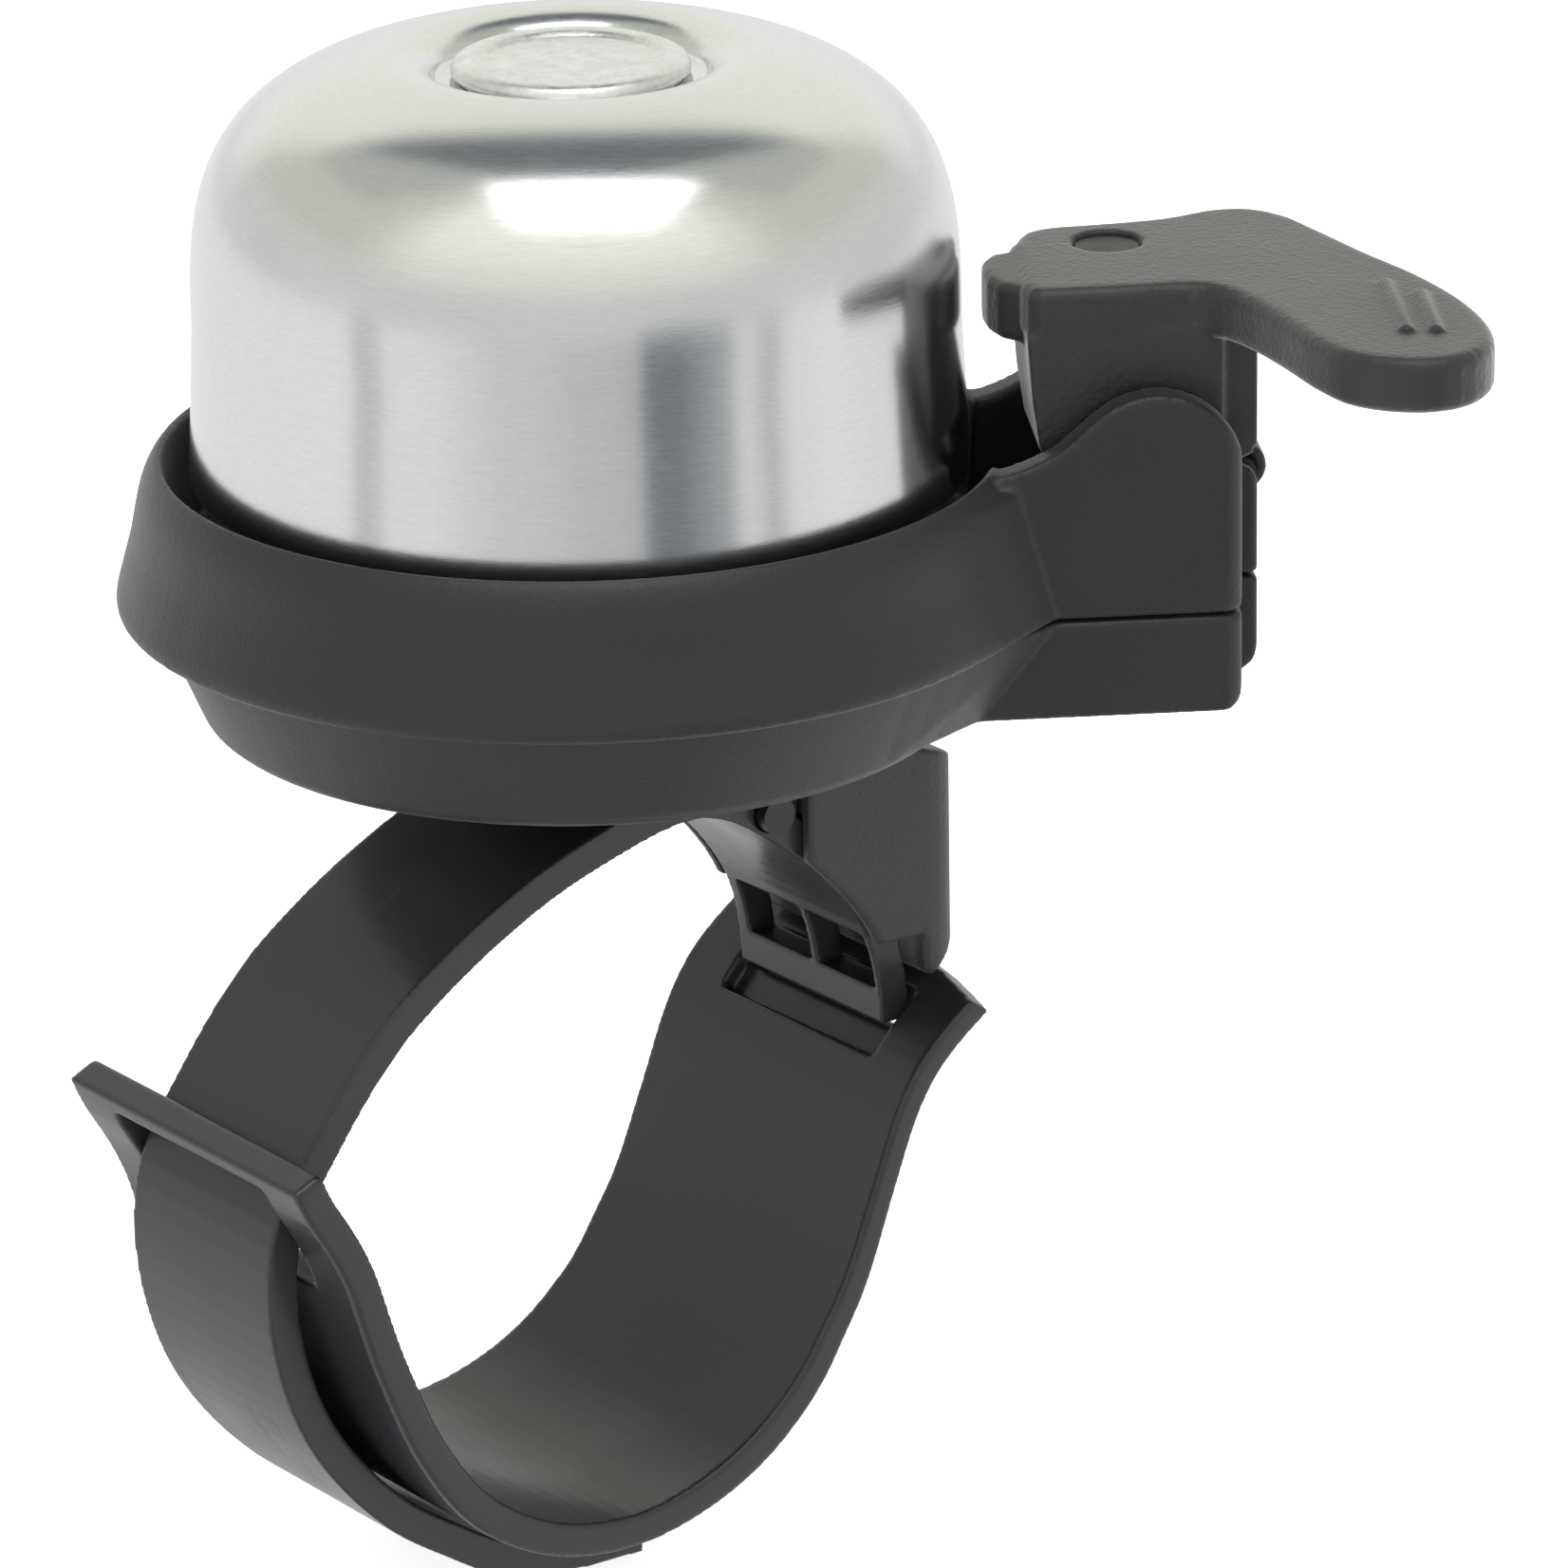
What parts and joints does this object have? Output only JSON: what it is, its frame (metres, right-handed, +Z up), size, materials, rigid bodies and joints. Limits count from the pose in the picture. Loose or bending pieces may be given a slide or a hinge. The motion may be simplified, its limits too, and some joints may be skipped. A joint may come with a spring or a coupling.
{
  "type": "bicycle bell",
  "caption": "Compact handlebar bicycle bell: brushed metal dome on a black base with a sprung thumb striker, held by a flexible two-strap plastic clamp.",
  "frame": {"origin": "centre of the handlebar that the straps close round", "axes": "+Z up along the bell axis, +Y along the handlebar away from the viewer of the stored picture, +X to the latch side of the strap loop"},
  "size_m": [0.0587, 0.0613, 0.0777],
  "materials": {
    "aluminium_dome": "circumferentially brushed, satin polished",
    "nut_metal": "frosted, tumbled edges",
    "steel": "zinc plated",
    "dark_steel": "blackened",
    "nylon": "natural nylon",
    "black_base": "fine spark texture",
    "black_bowl": "fine spark texture, slightly greyer",
    "black_lever": "spark texture on top, smoother sides",
    "black_block": "coarse spark texture",
    "black_strap": "satin glossy, faint lengthwise scuffs",
    "black_rubber": "matte"
  },
  "bodies": {
    "clamp": {"swivel_bolt": "steel", "swivel_washer": "nylon", "main_strap": "black_strap", "strap_pin": "dark_steel", "keeper_strap": "black_strap", "clamp_block": "black_block", "take_up_screw": "steel"},
    "bell": {"bell_dome": "aluminium_dome", "dome_cap_nut": "nut_metal", "dome_washer": "nylon", "dome_bushing": "black_rubber", "post_sleeve": "nylon", "center_stud": "steel", "stud_washer": "steel", "stud_nut": "steel", "base_ring": "black_base", "base_bowl": "black_bowl", "base_screw_1": "steel", "base_screw_2": "steel", "base_screw_3": "steel", "lever_pin": "steel", "return_spring": "steel", "spring_post": "dark_steel"},
    "lever": {"striker_lever": "black_lever", "hammer_slug": "dark_steel"}
  },
  "joints": [
    {"name": "bell_swivel", "type": "hinge", "parent": "clamp", "child": "bell", "pos_m": [0.0045, 0, 0.0215], "axis": [0, 0, 1], "continuous": true},
    {"name": "lever_pivot", "type": "hinge", "parent": "bell", "child": "lever", "pos_m": [0.02811, -0.01467, 0.0353], "axis": [0.5277, 0.8494, 0], "range_deg": [-6.9, 22], "stiffness_Nm_per_rad": 0.03}
  ]
}
